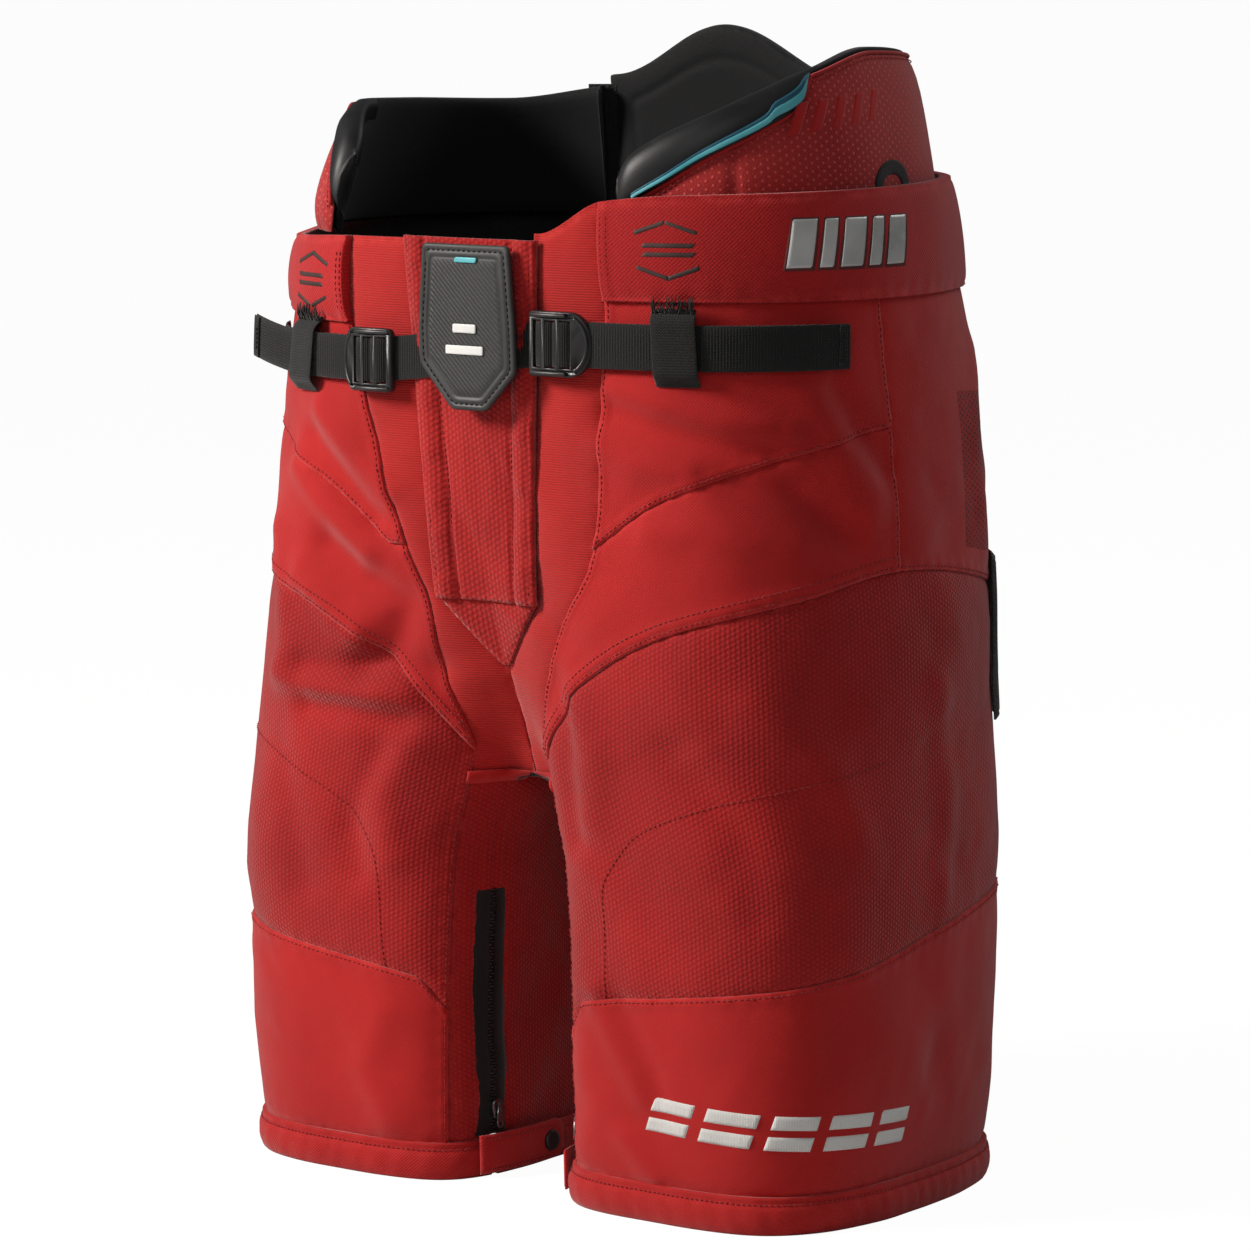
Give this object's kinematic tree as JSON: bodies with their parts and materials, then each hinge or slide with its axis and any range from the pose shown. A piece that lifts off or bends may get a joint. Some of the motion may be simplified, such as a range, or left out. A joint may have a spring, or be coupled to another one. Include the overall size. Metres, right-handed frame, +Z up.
{
  "type": "ice hockey pants",
  "caption": "Padded ice hockey pants: red shell with thigh, hip and kidney protection, buckled waist belt, fly patch, and inseam zippers with snap tabs.",
  "frame": {"origin": "on the ground plane, centred between the two leg hems that the pants stand on", "axes": "+Z up to the waist, -Y out of the front (the fly), +X to the wearer's left"},
  "size_m": [0.4416, 0.3035, 0.661],
  "materials": {
    "nylon": "plain woven nylon, matt with a faint sheen",
    "stretch": "ribbed stretch twill",
    "mesh": "textured dobby mesh",
    "perforated": "padded mesh with a raised dot pattern",
    "binding": "folded nylon hem binding",
    "lining": "black liner, smooth foam-backed knit",
    "foam": "moulded black foam skin",
    "guard": "plastic plate on foam",
    "webbing": "ribbed polypropylene webbing",
    "rubber": "moulded patch, textured",
    "buckle": "moulded acetal, satin",
    "coil": "zipper tape and coil",
    "metal": "black-lacquered zinc"
  },
  "bodies": {
    "pants": {"left_waistband": "nylon", "right_waistband": "nylon", "left_stretch_panel": "stretch", "right_stretch_panel": "stretch", "left_hip_panel": "nylon", "right_hip_panel": "nylon", "left_side_panel": "nylon", "right_side_panel": "nylon", "left_thigh_panel": "nylon", "right_thigh_panel": "nylon", "left_seat_panel": "nylon", "right_seat_panel": "nylon", "left_hip_pad": "guard", "right_hip_pad": "guard", "left_kidney_pad": "perforated", "right_kidney_pad": "perforated", "left_kidney_liner": "lining", "right_kidney_liner": "lining", "left_belt_strap": "webbing", "right_belt_strap": "webbing", "left_belt_keeper": "webbing", "right_belt_keeper": "webbing", "back_pad": "foam", "fly_flap": "mesh", "front_gusset": "mesh", "crotch_gusset": "mesh", "front_patch": "rubber", "belt_centre": "webbing", "hanger_loop": "webbing"},
    "left_leg": {"left_knee_panel": "mesh", "left_lower_panel": "nylon", "left_rear_leg_panel": "nylon", "left_inner_panel": "mesh", "left_inseam_strip": "mesh", "left_hem_binding": "binding", "left_thigh_guard": "guard", "left_zipper": "coil", "left_snap_stud": "metal", "rear_tag": "rubber"},
    "right_leg": {"right_knee_panel": "mesh", "right_lower_panel": "nylon", "right_rear_leg_panel": "nylon", "right_inner_panel": "mesh", "right_inseam_strip": "mesh", "right_hem_binding": "binding", "right_thigh_guard": "guard", "right_zipper": "coil", "right_snap_stud": "metal"},
    "left_zip_slider": {"left_zip_slider": "metal"},
    "left_zip_pull": {"left_zip_pull": "metal"},
    "left_snap_tab": {"left_snap_tab": "nylon", "left_snap_cap": "metal"},
    "left_buckle": {"left_buckle": "buckle"},
    "left_belt_tail": {"left_belt_tail": "webbing"},
    "right_zip_slider": {"right_zip_slider": "metal"},
    "right_zip_pull": {"right_zip_pull": "metal"},
    "right_snap_tab": {"right_snap_tab": "nylon", "right_snap_cap": "metal"},
    "right_buckle": {"right_buckle": "buckle"},
    "right_belt_tail": {"right_belt_tail": "webbing"}
  },
  "joints": [
    {"name": "left_leg_flex", "type": "hinge", "parent": "pants", "child": "left_leg", "pos_m": [0.115, 0, 0.4], "axis": [-1, 0, 0], "range_deg": [-10, 20], "stiffness_Nm_per_rad": 5, "deforming": ["left_stretch_panel", "left_thigh_panel", "left_side_panel", "left_seat_panel", "crotch_gusset"]},
    {"name": "right_leg_flex", "type": "hinge", "parent": "pants", "child": "right_leg", "pos_m": [-0.115, 0, 0.4], "axis": [-1, 0, 0], "range_deg": [-10, 20], "stiffness_Nm_per_rad": 5, "deforming": ["right_stretch_panel", "right_thigh_panel", "right_side_panel", "right_seat_panel"]},
    {"name": "left_zip_slide", "type": "slide", "parent": "left_leg", "child": "left_zip_slider", "axis": [-0.0136, -0.0207, 0.9997], "range_m": [0, 0.105]},
    {"name": "left_pull_swing", "type": "hinge", "parent": "left_zip_slider", "child": "left_zip_pull", "pos_m": [0.0276, -0.0785, 0.0421], "axis": [-0.2021, 0.9794, 0], "range_deg": [0, 120]},
    {"name": "left_snap_open", "type": "hinge", "parent": "left_leg", "child": "left_snap_tab", "pos_m": [0.0311, -0.0935, 0.0145], "axis": [0, 0, 1], "range_deg": [0, 12]},
    {"name": "left_buckle_tilt", "type": "hinge", "parent": "pants", "child": "left_buckle", "pos_m": [0.0405, -0.151, 0.492], "axis": [0, 0, -1], "range_deg": [0, 35]},
    {"name": "left_tail_swing", "type": "hinge", "parent": "pants", "child": "left_belt_tail", "pos_m": [0.1448, -0.1224, 0.492], "axis": [0, 0, -1], "range_deg": [0, 45]},
    {"name": "right_zip_slide", "type": "slide", "parent": "right_leg", "child": "right_zip_slider", "axis": [0.0136, -0.0207, 0.9997], "range_m": [0, 0.105]},
    {"name": "right_pull_swing", "type": "hinge", "parent": "right_zip_slider", "child": "right_zip_pull", "pos_m": [-0.0276, -0.0785, 0.0421], "axis": [-0.2021, -0.9794, 0], "range_deg": [0, 120]},
    {"name": "right_snap_open", "type": "hinge", "parent": "right_leg", "child": "right_snap_tab", "pos_m": [-0.0311, -0.0935, 0.0145], "axis": [0, 0, -1], "range_deg": [0, 12]},
    {"name": "right_buckle_tilt", "type": "hinge", "parent": "pants", "child": "right_buckle", "pos_m": [-0.052, -0.149, 0.477], "axis": [0, 0, 1], "range_deg": [0, 35]},
    {"name": "right_tail_swing", "type": "hinge", "parent": "pants", "child": "right_belt_tail", "pos_m": [-0.1462, -0.1229, 0.477], "axis": [0, 0, 1], "range_deg": [-10, 45]}
  ]
}
